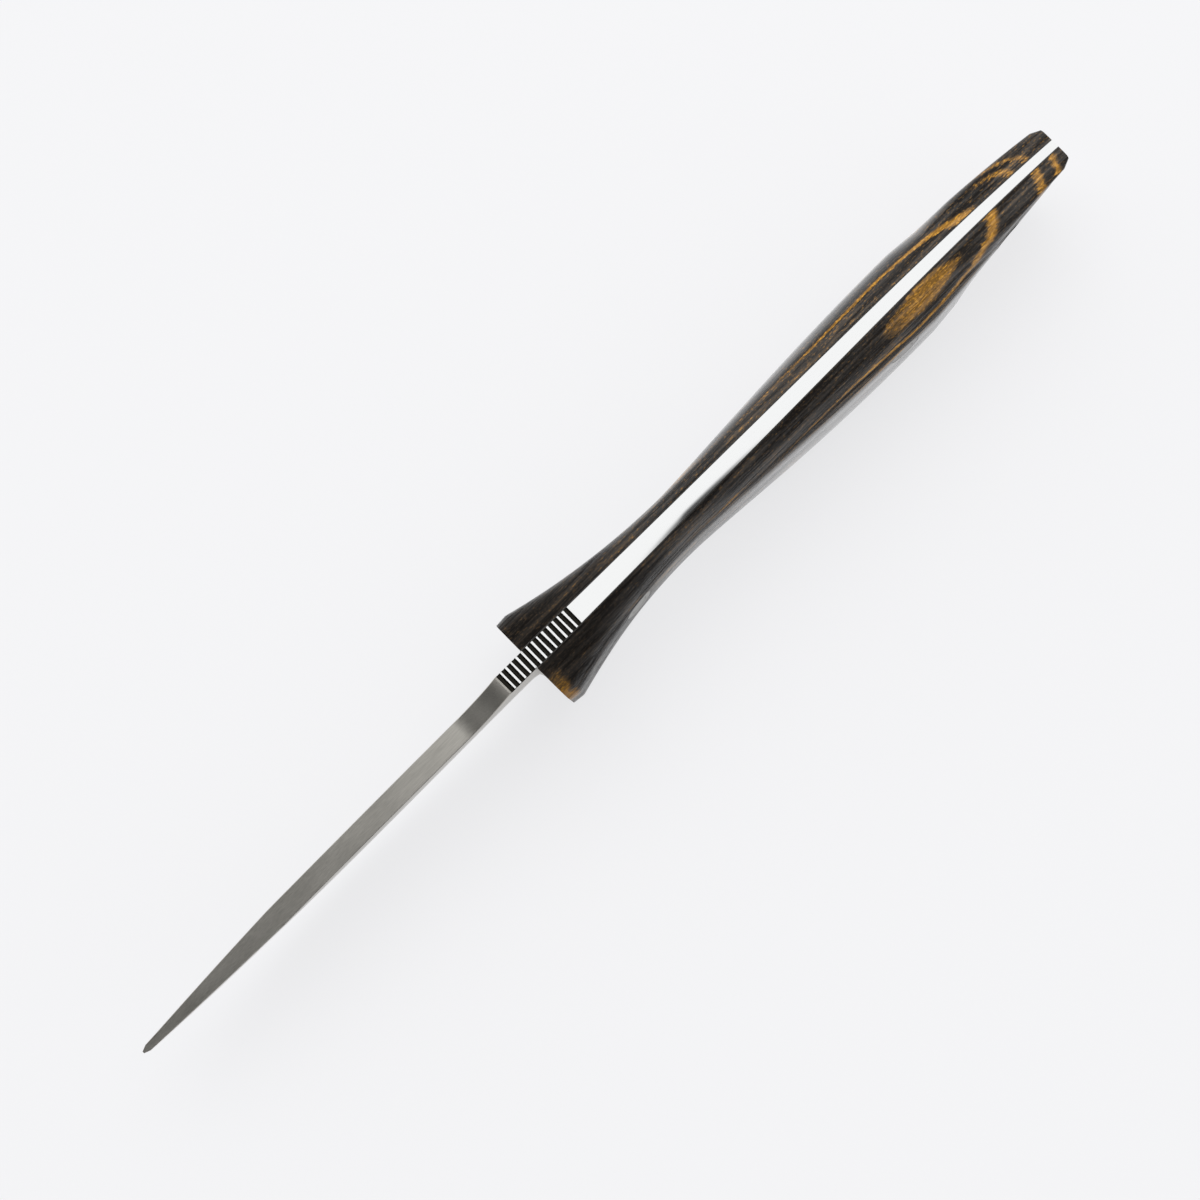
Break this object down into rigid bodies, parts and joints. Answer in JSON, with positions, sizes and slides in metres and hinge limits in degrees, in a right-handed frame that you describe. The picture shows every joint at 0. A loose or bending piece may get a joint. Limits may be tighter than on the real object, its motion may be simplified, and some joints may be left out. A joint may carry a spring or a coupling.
{
  "type": "hunting knife",
  "caption": "Fixed-blade drop-point hunting knife with a jimped thumb ramp, tapered full tang, figured wooden scales, handle bolts and a lanyard tube.",
  "frame": {"origin": "under the middle of the knife's length, in the plane of the blade, level with the lowest point of the handle's belly", "axes": "+X towards the tip, +Z towards the spine, +Y towards the knife's left side"},
  "size_m": [0.2284, 0.0188, 0.0321],
  "materials": {
    "satin_steel": "satin, polished bright along the handle's spine",
    "bright_steel": "ground flush and polished",
    "dark_wood": "oiled and polished near-black hardwood with golden figure",
    "dark_epoxy": "dark glue line"
  },
  "bodies": {
    "root": {"blade": "satin_steel", "left_scale": "dark_wood", "right_scale": "dark_wood", "left_bond": "dark_epoxy", "right_bond": "dark_epoxy", "front_stud": "bright_steel", "front_left_nut": "bright_steel", "front_right_nut": "bright_steel", "rear_stud": "bright_steel", "rear_left_nut": "bright_steel", "rear_right_nut": "bright_steel", "lanyard_tube": "bright_steel"}
  },
  "joints": []
}
